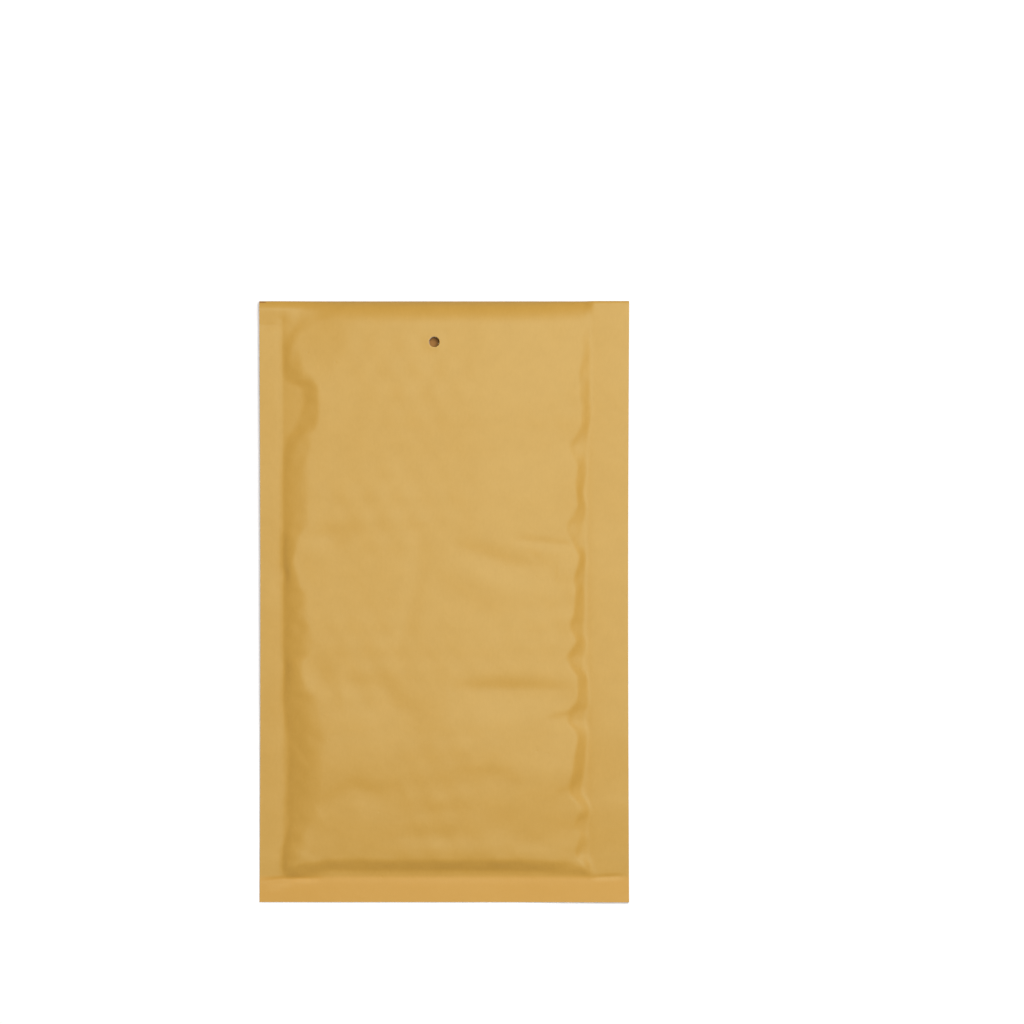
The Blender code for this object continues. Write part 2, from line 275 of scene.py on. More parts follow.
def seam_height(x, y, share):
    """Height of the glue line between the panels: pressed at the padding's foot, loose beyond."""
    at_left, at_right = between(y, SEAM)
    beside = np.maximum(np.maximum(LEFT_FOOT - x, x - RIGHT_FOOT), BOTTOM_FOOT - y)
    loose = undulation(x, y, 8, 40, 0.05)
    loose -= 0.08 * np.exp(-((np.clip(beside, -1, None) / 1.6) ** 2))
    # creases at the top left corner and beside the padding
    loose += groove(x, y, [(-70, 103.6), (-66, 103.8), (-61, 104.2)], 1.2, -0.15, 0.6)
    loose += dent(x, y, (-61.5, 106), (1.2, 1.4), -0.15)
    loose += dent(x, y, (-63.5, 8), (1.6, 4), -0.08)
    # creases at the two bottom corners
    loose += groove(x, y, [(-68.5, -104.9), (-60, -104.1), (-46, -103.9)], 1.1, -0.3, 0.6)
    loose += groove(x, y, [(-67, -106.6), (-62, -105.9), (-56, -105.2)], 0.9, -0.2, 0.6)
    loose += groove(x, y, [(55, -103.9), (60, -103.4), (68, -103.1)], 0.9, -0.28, 0.7)
    z = mix(at_left, at_right, smooth((x - 20) / 50)) + loose * (1 - share) + corner_lift(x, y)
    # the left half bends down over its last 2.7 mm, and the edge itself is rounded
    z -= 0.5 * soft(y - FOLD_EDGE + 2.7) * smooth(-x / 40)
    return rolled_off(z, z - MARGIN_DROP, 1.2, y)


def front_relief(x, y):
    """Dents and creases of the address panel: places from the photograph, depths guessed."""
    z = np.zeros(np.shape(x))
    # the punched hole's rim stands up a little
    z += 0.1 * np.exp(-(((np.hypot(x - HOLE_X, y - FRONT_HOLE_Y) - 2.4) / 0.5) ** 2))
    # the wedge in the right half: a level crease along its top, and its longer slanting side
    z += groove(x, y, [(26, 23.4), (34, 22.4), (42, 21.5), (54, 20.6)], 1.5, -0.2, 1.8)
    z += groove(x, y, [(2, 21), (14, 17.5), (26, 13), (43, 12)], 5.5, -0.42, 4.2)
    z += groove(x, y, [(31, 20.5), (33, 18), (36, 15.5)], 1.2, -0.1, 1.6)
    # the soft slant under it, which falls away below
    z += groove(x, y, [(-6, 8), (6, 2), (14, -4), (26, -8)], 8.0, -0.28, 6.0)
    z += dent(x, y, (17, 8), (7, 3), 0.06, -20)
    # the level fold low on the right
    z += groove(x, y, [(2, -33.5), (16, -33), (30, -33.2), (50, -33.6)], 8.0, -0.55, 3.6)
    # the hooks of two pinches beside the right flank
    z += groove(x, y, [(38.5, -44.4), (44, -43.2), (49, -42), (53, -40.5)], 5.0, -0.2, 1.2)
    z += groove(x, y, [(42, -72.4), (46, -71), (51, -68.5)], 4.0, -0.12, 1.2)
    # dents beside the left flank
    z += dent(x, y, (-43, 24), (9, 4.5), -0.45, 8)
    z += dent(x, y, (-55, 13), (7, 8), -0.35)
    z += dent(x, y, (-48, -27), (6.5, 6.5), -0.42)
    z += dent(x, y, (-52.5, -27), (2.4, 2.6), 0.03)
    z += groove(x, y, [(-60, -48), (-56.5, -53), (-52.5, -59.5), (-49, -64)], 1.0, -0.16, 1.4)
    z += dent(x, y, (-59.2, 43.5), (1.6, 0.9), -0.1)
    z += dent(x, y, (-55.5, -79.5), (1.4, 1.6), -0.15)
    z += dent(x, y, (-46.5, -82), (2.6, 3), 0.06)
    z += dent(x, y, (-51, -81), (9, 8), -0.25)
    # the long upright valley left of the middle
    z += groove(x, y, [(-10, 30), (-10, 12), (-13, -2), (-17, -17), (-24, -30)], 3.2, -0.22, 4.5)
    # where the padding falls away to the lower left
    z += groove(x, y, [(-38, -36), (-25, -33), (-14, -42), (-8, -52)], 9.0, -0.4, 6.0)
    # hollows above the bottom flank
    z += groove(x, y, [(-48, -78), (-34, -70), (-24, -73), (-16, -69)], 6.5, -0.4, 3.4)
    z += groove(x, y, [(-2, -66), (10, -65), (22, -65.5), (29, -71)], 6.0, -0.26, 3.2)
    z += dent(x, y, (22, -84), (6, 6), -0.25)
    z += dent(x, y, (-2, -89), (11, 5), -0.2)
    z += dent(x, y, (-28, -92), (13, 6), -0.2)
    z += dent(x, y, (-50, -92), (8, 7), -0.2)
    z += dent(x, y, (33, -91), (6, 4), -0.18)
    z += dent(x, y, (-2, -75.5), (4, 2.4), 0.08)
    # the bubbles show faintly through the paper
    bubbles = np.clip(0.01 + undulation(x, y, 11, 60, 0.012), 0, 0.04)
    row_step = BUBBLE_PITCH * math.cos(math.radians(30))
    for turn in map(math.radians, (30, 90, 150)):
        across = (x - HOLE_X) * math.cos(turn) + (y - FRONT_HOLE_Y) * math.sin(turn)
        z += bubbles * np.cos(2 * np.pi * across / row_step)
    return z + undulation(x, y, 3, 34, 0.05) + undulation(x, y, 4, 16, 0.015)


def front_height(x, y):
    """Height of the address panel's outer face above the surface it lies on."""
    share = padding_share(x, y)
    *_, fullness = right_flank(y)
    # the folded flap behind lifts the mouth's end
    z = PADDED_TOP + 0.4 * smooth((y - 52) / 24) + front_relief(x, y)
    # the padding sinks towards the left, the right with its pinches, and the bottom
    z -= 0.5 * smooth((14 - x) / 68)
    z -= 0.9 * smooth((x - 10) / 44) + 0.4 * (1 - fullness) * smooth((x - 34) / 16)
    z -= mix(2.1 * smooth((-52 - y) / 46), 1.8 * smooth((-62 - y) / 36), smooth((x - 10) / 30))
    # and at the two top corners, of which the left one curls up again
    z -= 1.7 * smooth((y - 78) / 26) * smooth((-32 - x) / 26)
    z -= 0.5 * smooth((y - 84) / 20) * smooth((x - 36) / 16) - corner_lift(x, y)
    # the paper is most uneven half-way down the flanks
    z += undulation(x, y, 5, 9, 0.1) * 4 * share * (1 - share)
    z = rolled_off(z, PADDED_EDGE, ROLL_LENGTH, y)
    return mix(seam_height(x, y, share) + GLUE_LINE / 2 + PAPER, z, share)


def back_height(x, y):
    """Height of the back panel's outer face; it rests on the surface, then drapes over the flap."""
    share = padding_share(x, y)
    drape_from = FLAP_TIP_Y - 19
    drape_to = FLAP_TIP_Y - 1
    under = 0.7 * smooth((y - drape_from) / (drape_to - drape_from))
    return mix(seam_height(x, y, share) - GLUE_LINE / 2 - PAPER, under, share)


def pulled(x, y):
    """The padding draws the sides in a little, most of all half-way along."""
    pull = 0.4
    share = np.clip((y - BOTTOM_EDGE) / (FOLD_EDGE - BOTTOM_EDGE), 0, 1)
    return x * (1 - pull / RIGHT_EDGE * np.sin(share * np.pi))


def margin_lift(x, y):
    """How far the folded throat's glued margins stand off the surface, to follow the panels'.

    They keep a gap under the back panel, and come down to the surface below y = 97.
    """
    gap = 0.4
    beside = np.maximum(LEFT_FOOT - x, x - RIGHT_FOOT)
    room = back_height(x, np.minimum(y, BACK_BEND_FROM)) - TWO_LAYERS - gap
    return np.maximum(room, 0) * smooth(beside / 8) * smooth((y - 97) / 11)


def fold(x, v, is_front):
    """Where folding takes a point of the flat blank; v is Y on the body and runs on past it."""
    if is_front:
        turn = np.clip((v - ROLL_FROM) / (ROLL_TO - ROLL_FROM), 0, 1) * np.pi / 2
        y = np.minimum(v, ROLL_FROM) + ROLL_LENGTH * np.sin(turn)
        z = front_height(x, y)
        turn = np.clip((v - ROLL_TO) / (UNDER_TO - ROLL_TO), 0, 1) * np.pi / 2
        y = y - UNDER_REACH * (1 - np.cos(turn)) - np.maximum(v - UNDER_TO, 0)
        z = mix(z, margin_lift(x, y), np.sin(turn))
    else:
        y = np.minimum(v, BACK_BEND_FROM)
        top = back_height(x, y)
        turn = np.clip((v - BACK_BEND_FROM) / (BACK_BEND_TO - BACK_BEND_FROM), 0, 1) * np.pi
        y = y + BACK_REACH * np.sin(turn) - np.maximum(v - BACK_BEND_TO, 0)
        bottom = TWO_LAYERS + 0.1 * over_padding(x) + margin_lift(x, y)
        z = mix(bottom, top, (1 + np.cos(turn)) / 2)
    return np.stack([pulled(x, y), y, z], axis=-1)


def graded(start, *stretches):
    """Grid lines from start on, with each stretch's own spacing."""
    lines = [start]
    for end, spacing in stretches:
        count = max(1, round(abs(end - lines[-1]) / spacing))
        lines += list(np.linspace(lines[-1], end, count + 1)[1:])
    return lines


def blank(columns, rows, holes):
    """A flat sheet of paper as a bmesh, with a grid line at each column and row, and its holes."""
    bm = bmesh.new()
    across, along = len(columns) - 1, len(rows) - 1
    made = bmesh.ops.create_grid(bm, x_segments=across, y_segments=along, size=1)
    for vert in made["verts"]:
        column = round((vert.co.x + 1) / 2 * across)
        row = round((vert.co.y + 1) / 2 * along)
        vert.co = (columns[column], rows[row], 0)
    for x, v in holes:
        punch(bm, x, v)
    return bm


def punch(bm, x, v):
    """Replace the grid round a hole by rings that run in to its rim."""
    window = HOLE_RADIUS * 2.2
    centre = Vector((x, v, 0))
    inside = []
    for face in bm.faces:
        off = face.calc_center_median() - centre
        if max(abs(off.x), abs(off.y)) < window:
            inside.append(face)
    around = {vert for face in inside for vert in face.verts}
    bmesh.ops.delete(bm, geom=inside, context="FACES")
    rim = {edge for vert in around if vert.is_valid for edge in vert.link_edges if edge.is_boundary}
    ring = bmesh.ops.create_circle(bm, segments=32, radius=HOLE_RADIUS * 1.4)["verts"]
    bmesh.ops.translate(bm, verts=ring, vec=centre)
    edges = {edge for vert in ring for edge in vert.link_edges}
    bmesh.ops.triangle_fill(bm, edges=list(rim | edges), use_beauty=True, normal=(0, 0, 1))
    for radius in (HOLE_RADIUS * 1.15, HOLE_RADIUS):
        grown = bmesh.ops.extrude_edge_only(bm, edges=list(edges))["geom"]
        ring = {item for item in grown if isinstance(item, bmesh.types.BMVert)}
        edges = {edge for vert in ring for edge in vert.link_edges if ring.issuperset(edge.verts)}
        for vert in ring:
            vert.co = centre + (vert.co - centre).normalized() * radius


def taper_flap(bm):
    """Cut the flap's shoulders and run its sides in to the tip."""
    shoulder = throat_place(SHOULDER_Y, True)
    tip = throat_place(FLAP_TIP_Y, True)
    beside = [
        face
        for face in bm.faces
        if face.calc_center_median().y > shoulder
        and not FLAP_BASE[0] < face.calc_center_median().x < FLAP_BASE[1]
    ]
    bmesh.ops.delete(bm, geom=beside, context="FACES")
    for vert in bm.verts:
        if vert.co.y > shoulder:
            taper = (vert.co.y - shoulder) / (tip - shoulder)
            left = mix(FLAP_BASE[0], FLAP_TIP[0], taper)
            right = mix(FLAP_BASE[1], FLAP_TIP[1], taper)
            vert.co.x = mix(left, right, (vert.co.x - FLAP_BASE[0]) / (FLAP_BASE[1] - FLAP_BASE[0]))


def throat_place(y, is_front):
    """The blank coordinate of a point of the throat or the flap at a height y."""
    if is_front:
        return UNDER_TO + FOLD_EDGE - UNDER_REACH - y
    return BACK_BEND_TO + BACK_BEND_FROM - y


def paper_piece(name, bm, is_front, upper, under):
    """Fold a blank into a sheet with two faces, its flat place kept as its UV map.

    The first material is for the blank's upper face, which on the back web is the inner one.
    """
    mesh = bpy.data.meshes.new(name)
    mesh.materials.append(upper)
    mesh.materials.append(under)
    bm.normal_update()
    bmesh.ops.reverse_faces(bm, faces=[face for face in bm.faces if face.normal.z < 0])
    bm.to_mesh(mesh)
    bm.free()
    flat = np.empty(len(mesh.vertices) * 3)
    mesh.vertices.foreach_get("co", flat)
    flat = flat.reshape(-1, 3)
    corner_vertex = np.empty(len(mesh.loops), dtype=np.int32)
    mesh.loops.foreach_get("vertex_index", corner_vertex)
    uv = mesh.uv_layers.new(name="blank")
    uv.data.foreach_set("uv", (flat[corner_vertex, :2] * MM).ravel())
    folded = fold(flat[:, 0], flat[:, 1], is_front) * MM
    mesh.vertices.foreach_set("co", folded.ravel())
    made = bpy.data.objects.new(name, mesh)
    bpy.context.scene.collection.objects.link(made)
    wall = made.modifiers.new("paper thickness", "SOLIDIFY")
    wall.thickness = PAPER * MM
    wall.offset = -1 if is_front else 1
    wall.material_offset = 1
    solid = bpy.data.meshes.new_from_object(made.evaluated_get(bpy.context.evaluated_depsgraph_get()))
    made.modifiers.clear()
    made.data = solid
    solid.shade_smooth()
    solid.set_sharp_from_angle(angle=math.radians(50))
    return made


def linear(hex_colour):
    """An sRGB hex colour as linear values with alpha."""
    channels = [int(hex_colour[i : i + 2], 16) / 255 for i in (0, 2, 4)]
    return (*[c / 12.92 if c <= 0.04045 else ((c + 0.055) / 1.055) ** 2.4 for c in channels], 1)


def add_node(tree, kind, settings=None, links=None):
    """Add a node; settings go to its properties or sockets, links to its input sockets."""
    made = tree.nodes.new(kind)
    for name, value in (settings or {}).items():
        if isinstance(name, str) and hasattr(made, name):
            setattr(made, name, value)
        else:
            made.inputs[name].default_value = value
    for name, source in (links or {}).items():
        tree.links.new(source, made.inputs[name])
    return made


def kraft_paper(name, light, dark, roughness, stain=None):
    """Machine-glazed kraft: smooth and faintly glossy, with fine long fibres and soft clouds.

    Colours are hex. A stain is the hex colour of an ink or a glue, and a function that gives its
    mask from the blank's X and Y.
    """
    made = bpy.data.materials.new(name)
    made.use_nodes = True
    tree = made.node_tree
    shader = tree.nodes["Principled BSDF"]
    shader.inputs["Roughness"].default_value = roughness
    shader.inputs["Specular IOR Level"].default_value = 0.38
    shader.inputs["Specular Tint"].default_value = linear("E1FFE7")
    place = add_node(tree, "ShaderNodeUVMap", {"uv_map": "blank"}).outputs["UV"]
    along_fibres = add_node(tree, "ShaderNodeMapping", {"Scale": (1, 0.35, 1)}, {"Vector": place})
    # fibres about 0.9 mm wide, drawn coarser than real so that they show, clouds in the sheet about
    # 7 mm across, and specks about 12 mm apart
    fibres = add_node(
        tree,
        "ShaderNodeTexNoise",
        {"Scale": 1 / (0.9 * MM), "Detail": 3, "Roughness": 0.6},
        {"Vector": along_fibres.outputs["Vector"]},
    )
    clouds = add_node(
        tree,
        "ShaderNodeTexNoise",
        {"Scale": 1 / (7 * MM), "Detail": 3, "Roughness": 0.55},
        {"Vector": place},
    )
    specks = add_node(tree, "ShaderNodeTexVoronoi", {"Scale": 1 / (12 * MM)}, {"Vector": place})
    fibre_tone = add_node(
        tree,
        "ShaderNodeMapRange",
        {"From Min": 0.3, "From Max": 0.7, "To Min": 0.38, "To Max": 0.62},
        {"Value": fibres.outputs["Fac"]},
    )
    cloud_tone = add_node(
        tree,
        "ShaderNodeMapRange",
        {"From Min": 0.3, "From Max": 0.7, "To Min": -0.15, "To Max": 0.15},
        {"Value": clouds.outputs["Fac"]},
    )
    tone = add_node(
        tree,
        "ShaderNodeMath",
        {"operation": "ADD"},
        {0: fibre_tone.outputs["Result"], 1: cloud_tone.outputs["Result"]},
    )
    colour = add_node(
        tree,
        "ShaderNodeMix",
        {"data_type": "RGBA", 6: linear(dark), 7: linear(light)},
        {0: tone.outputs["Value"]},
    ).outputs[2]
    if stain:
        stain_colour, stain_mask = stain
        axes = add_node(tree, "ShaderNodeSeparateXYZ", links={"Vector": place})
        colour = add_node(
            tree,
            "ShaderNodeMix",
            {"data_type": "RGBA", 7: linear(stain_colour)},
            {0: stain_mask(tree, axes.outputs["X"], axes.outputs["Y"]), 6: colour},
        ).outputs[2]
    tree.links.new(colour, shader.inputs["Base Color"])
    speck_height = add_node(
        tree,
        "ShaderNodeMapRange",
        {"From Min": 0.02, "From Max": 0.06},
        {"Value": specks.outputs["Distance"]},
    )
    grain = add_node(
        tree,
        "ShaderNodeBump",
        {"Strength": 0.18, "Distance": 0.03 * MM},
        {"Height": fibres.outputs["Fac"]},
    )
    crinkle = add_node(
        tree,
        "ShaderNodeBump",
        {"Strength": 0.48, "Distance": 0.15 * MM},
        {"Height": clouds.outputs["Fac"], "Normal": grain.outputs["Normal"]},
    )
    pits = add_node(
        tree,
        "ShaderNodeBump",
        {"Strength": 0.5, "Distance": 0.05 * MM},
        {"Height": speck_height.outputs["Result"], "Normal": crinkle.outputs["Normal"]},
    )
    tree.links.new(pits.outputs["Normal"], shader.inputs["Normal"])
    return made


# the flanks, the foot and the folds have the finest grid
LEFT_FLANK_ENDS = -46
RIGHT_FLANK_STARTS = 40
columns = graded(
    LEFT_EDGE,
    (FLAP_BASE[0], 1.4),
    (LEFT_FLANK_ENDS, 0.6),
    (RIGHT_FLANK_STARTS, 1.1),
    (58, 0.6),
    (FLAP_BASE[1], 1.3),
    (RIGHT_EDGE, 1.5),
)
front_rows = graded(
    BOTTOM_EDGE,
    (BOTTOM_FOOT - 3, 1.6),
    (BOTTOM_FOOT + 9, 0.6),
    (ROLL_FROM, 0.95),
    (ROLL_TO, 0.6),
    (UNDER_TO, 0.25),
    (throat_place(SHOULDER_Y, True), 1.6),
    (throat_place(FLAP_TIP_Y, True), 2.0),
)


def bottom_glue(tree, x, y):
    """The glue of the bottom seam shows through the paper a little."""
    shown = add_node(
        tree,
        "ShaderNodeMapRange",
        {"From Min": (BOTTOM_FOOT + 0.8) * MM, "From Max": (BOTTOM_FOOT - 0.8) * MM, "To Max": 0.5},
        {"Value": y},
    )
    return shown.outputs["Result"]


gold_kraft = kraft_paper("gold kraft paper", "C79946", "BD8F3B", 0.5, ("D0963C", bottom_glue))
brown_kraft = kraft_paper("brown kraft inner face", "A67238", "94632D", 0.75)
front_hole = (HOLE_X, FRONT_HOLE_Y)
front = blank(columns, front_rows, [front_hole, (HOLE_X, throat_place(THROAT_HOLE_Y, True))])
taper_flap(front)
address_panel = paper_piece("address_panel", front, True, gold_kraft, brown_kraft)
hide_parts("kraft_envelope")
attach(address_panel, "root")

# Back panel
# The second web of the same paper, glued to the address panel along the sides and the bottom.
# Its mouth edge is cut straight across the folded throat.

back_columns = graded(
    LEFT_EDGE,
    (LEFT_FOOT - 1, 1.9),
    (LEFT_FLANK_ENDS, 1.2),
    (RIGHT_FLANK_STARTS, 2.2),
    (RIGHT_FOOT + 3, 1.2),
    (RIGHT_EDGE, 1.9),
)
back_rows = graded(
    BOTTOM_EDGE,
    (BOTTOM_FOOT - 1, 1.9),
    (BOTTOM_FOOT + 9, 1.2),
    (ROLL_FROM, 2.2),
    (BACK_BEND_FROM, 1.2),
    (BACK_BEND_TO, 0.2),
    (throat_place(MOUTH_Y, False), 2.0),
)


def oblong(tree, x, y, left, right, bottom, top):
    """A mask of 1 inside an oblong of the blank; x and y are sockets, sizes in mm."""
    spans = ((x, left, right), (y, bottom, top))
    inside = [
        add_node(
            tree,
            "ShaderNodeMath",
            {"operation": "COMPARE", 1: (start + end) / 2 * MM, 2: (end - start) / 2 * MM},
            {0: socket},
        )
        for socket, start, end in spans
    ]
    return times(tree, inside[0].outputs["Value"], inside[1].outputs["Value"])


def times(tree, a, b):
    return add_node(tree, "ShaderNodeMath", {"operation": "MULTIPLY"}, {0: a, 1: b}).outputs["Value"]


def back_prints(tree, x, y):
    """Black ink: a block at the bottom corner, an arrow to the mouth and a ladder of even bars."""
    corner = oblong(tree, x, y, LEFT_EDGE, LEFT_EDGE + 3.8, BOTTOM_EDGE, BOTTOM_EDGE + 19.6)
    arrow_x = -56.6
    arrow_foot, head_foot, arrow_tip = 63.7, 67.2, 68.8
    shaft = oblong(tree, x, y, arrow_x - 0.3, arrow_x + 0.3, arrow_foot, head_foot)
    head_span = oblong(tree, x, y, arrow_x - 1.5, arrow_x + 1.5, head_foot, arrow_tip)
    # the head's half-width shrinks by 0.7 mm for each mm towards the tip
    narrowing = add_node(
        tree, "ShaderNodeMath", {"operation": "MULTIPLY_ADD", 1: -0.7, 2: 0.7 * arrow_tip * MM}, {0: y}
    )
    head_sides = add_node(
        tree,
        "ShaderNodeMath",
        {"operation": "COMPARE", 1: arrow_x * MM},
        {0: x, 2: narrowing.outputs["Value"]},
    )
    head = times(tree, head_span, head_sides.outputs["Value"])
    ladder = oblong(tree, x, y, -52, -36, -80, -44)
    bar = 0.9
    wrapped = add_node(
        tree, "ShaderNodeMath", {"operation": "WRAP", 1: 2 * bar * MM, 2: 0.0}, {0: y}
    )
    bars = add_node(
        tree, "ShaderNodeMath", {"operation": "LESS_THAN", 1: bar * MM}, {0: wrapped.outputs["Value"]}
    )
    total = times(tree, ladder, bars.outputs["Value"])
    for mask in (corner, shaft, head):
        total = add_node(tree, "ShaderNodeMath", {"operation": "MAXIMUM"}, {0: total, 1: mask})
        total = total.outputs["Value"]
    return total


printed_kraft = kraft_paper("printed gold kraft", "C79946", "BD8F3B", 0.5, ("2B2622", back_prints))
back_holes = [(HOLE_X, BACK_HOLE_Y), (HOLE_X, throat_place(THROAT_HOLE_Y, False))]
back = blank(back_columns, back_rows, back_holes)
back_panel = paper_piece("back_panel", back, False, brown_kraft, printed_kraft)
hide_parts("kraft_envelope")
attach(back_panel, "root")

# Bubble film linings
# A sheet of clear polyethylene bubble film behind each panel, formed domes against the paper and a
# flat film inside. The flanks press it thin, and bubbles that an edge or the punch cuts are flat.

BUBBLE_RADIUS = 5.0
FILM = 0.04
LINING_LEFT = LEFT_FOOT + 0.8
LINING_RIGHT = RIGHT_FOOT - 2.2
LINING_BOTTOM = BOTTOM_FOOT + 0.8
LINING_TOP = FOLD_EDGE - 3.0


def film_cell(profile, place):
    """A hexagon of film turned from a profile of (radius, height) about a place; as a mesh."""
    bm = bmesh.new()
    verts = [bm.verts.new((radius, 0, height)) for radius, height in profile]
    edges = [bm.edges.new(pair) for pair in zip(verts, verts[1:])]
    bmesh.ops.spin(
        bm, geom=verts + edges, axis=(0, 0, 1), cent=(0, 0, 0), angle=math.tau, steps=12, use_merge=True
    )
    bmesh.ops.remove_doubles(bm, verts=bm.verts, dist=0.001)
    for vert in bm.verts:
        is_rim = vert.co.xy.length > BUBBLE_RADIUS + 0.1
        turn = math.degrees(math.atan2(vert.co.y, vert.co.x))
        if is_rim and round(turn / 30) % 2 == 1:
            vert.co.xy /= math.cos(math.radians(30))
    bmesh.ops.translate(bm, verts=bm.verts, vec=(*place, 0))
    cell = bpy.data.meshes.new("film cell")
    bm.to_mesh(cell)
    bm.free()
    return cell


def bubble_film():
    """A flat sheet of bubble film the size of the linings, with the punched hole in one bubble.

    Heights are shares of the whole thickness: 0 on the flat film, 1 on top of a bubble.
    """
    skirt = [(BUBBLE_RADIUS, FILM), (BUBBLE_PITCH / 2, FILM)]
    dome = [(0, 1), (2.2, 0.98), (3.8, 0.84), (4.7, 0.5), *skirt]
    flat_rim = [(HOLE_RADIUS, FILM), *skirt]
    row_step = BUBBLE_PITCH * math.cos(math.radians(30))
    bm = bmesh.new()
    # enough rows and columns about the hole to cover the lining
    for row in range(-22, 2):
        for column in range(-6, 7):
            x = front_hole[0] + BUBBLE_PITCH * (column + (row % 2) / 2)
            y = front_hole[1] + row_step * row
            cell = film_cell(flat_rim if row == column == 0 else dome, (x, y))
            bm.from_mesh(cell)
            bpy.data.meshes.remove(cell)
    bmesh.ops.remove_doubles(bm, verts=bm.verts, dist=0.01)
    for place, away in (
        ((LINING_LEFT, 0, 0), (-1, 0, 0)),
        ((LINING_RIGHT, 0, 0), (1, 0, 0)),
        ((0, LINING_BOTTOM, 0), (0, -1, 0)),
        ((0, LINING_TOP, 0), (0, 1, 0)),
    ):
        whole = bm.verts[:] + bm.edges[:] + bm.faces[:]
        bmesh.ops.bisect_plane(bm, geom=whole, plane_co=place, plane_no=away, clear_outer=True)
    for vert in bm.verts:
        x, y, z = vert.co
        from_edge = min(x - LINING_LEFT, LINING_RIGHT - x, y - LINING_BOTTOM, LINING_TOP - y)
        vert.co.z = FILM + (z - FILM) * float(smooth(from_edge / 4))
    behind = blank(
        graded(LINING_LEFT, (LINING_RIGHT, 4)), graded(LINING_BOTTOM, (LINING_TOP, 4)), [front_hole]
    )
    behind_mesh = bpy.data.meshes.new("flat film")
    behind.to_mesh(behind_mesh)
    behind.free()
    bm.from_mesh(behind_mesh)
    bpy.data.meshes.remove(behind_mesh)
    hole = Vector(front_hole)
    rims = [edge for edge in bm.edges if edge.is_boundary]
    at_hole = [edge for edge in rims if (edge.verts[0].co.xy - hole).length < BUBBLE_RADIUS]
    bmesh.ops.bridge_loops(bm, edges=at_hole)
    bmesh.ops.bridge_loops(bm, edges=list(set(rims) - set(at_hole)))
    bmesh.ops.dissolve_degenerate(bm, edges=bm.edges, dist=0.01)
    bmesh.ops.recalc_face_normals(bm, faces=bm.faces)
    return bm


def lining_piece(name, film, is_front):
    """Press the flat film between its panel and the middle of the pouch."""
    mesh = bpy.data.meshes.new(name)
    film.to_mesh(mesh)
    flat = np.empty(len(mesh.vertices) * 3)
    mesh.vertices.foreach_get("co", flat)
    x, y, thickness = flat.reshape(-1, 3).T
    below = back_height(x, y) + PAPER
    above = front_height(x, y) - PAPER
    clearance = np.minimum(0.25, (above - below) / 6)
    film_face = (above + below) / 2 + (clearance / 4 if is_front else -clearance / 4)
    paper_face = above - clearance if is_front else below + clearance
    placed = np.stack([pulled(x, y), y, mix(film_face, paper_face, thickness)], axis=-1)
    mesh.vertices.foreach_set("co", (placed * MM).ravel())
    if not is_front:
        mesh.flip_normals()
    mesh.shade_smooth()
    mesh.set_sharp_from_angle(angle=math.radians(40))
    made = bpy.data.objects.new(name, mesh)
    bpy.context.scene.collection.objects.link(made)
    return made


def clear_film():
    """Blown polyethylene film: clear, faintly milky, glossy, with a fine uneven stretch."""
    made = bpy.data.materials.new("clear polyethylene film")
    made.use_nodes = True
    tree = made.node_tree
    shader = tree.nodes["Principled BSDF"]
    shader.inputs["Base Color"].default_value = linear("E8ECEC")
    shader.inputs["Alpha"].default_value = 0.45
    shader.inputs["IOR"].default_value = 1.51
    place = add_node(tree, "ShaderNodeTexCoord")
    # stretch marks about 3 mm apart
    stretch = add_node(
        tree,
        "ShaderNodeTexNoise",
        {"Scale": 1 / (3 * MM), "Detail": 2},
        {"Vector": place.outputs["Object"]},
    )
    gloss = add_node(
        tree,
        "ShaderNodeMapRange",
        {"From Min": 0.3, "From Max": 0.7, "To Min": 0.1, "To Max": 0.22},
        {"Value": stretch.outputs["Fac"]},
    )
    wavy = add_node(
        tree,
        "ShaderNodeBump",
        {"Strength": 0.3, "Distance": 0.1 * MM},
        {"Height": stretch.outputs["Fac"]},
    )
    tree.links.new(gloss.outputs["Result"], shader.inputs["Roughness"])
    tree.links.new(wavy.outputs["Normal"], shader.inputs["Normal"])
    return made


flat_film = bubble_film()
film_material = clear_film()
for side in ("front", "back"):
    lining = lining_piece(f"{side}_lining", flat_film, side == "front")
    lining.data.materials.append(film_material)
    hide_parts(f"{side}_bubble_lining")
    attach(lining, "root")
flat_film.free()

# Sealing strip
# A band of amber hot-melt adhesive on the flap's inner face, under a strip of siliconed release
# paper that runs from near the flap's tip to the mouth and is cut with the flap's shoulders.

ADHESIVE_ENDS = (-49.5, 57.0)
ADHESIVE_FROM = FLAP_TIP_Y + 5.8
ADHESIVE_TO = ADHESIVE_FROM + 6.8
LINER_FROM = FLAP_TIP_Y + 3.4
LINER_TO = MOUTH_Y - 0.4
LINER_FROM_FLAP_SIDES = 0.1
LINER_FROM_PANEL_SIDES = 0.6
# the flap's inner face lies one paper above the surface
FLAP_INSIDE = PAPER
ADHESIVE_TOP = FLAP_INSIDE + 0.12
LINER_TOP = ADHESIVE_TOP + 0.1


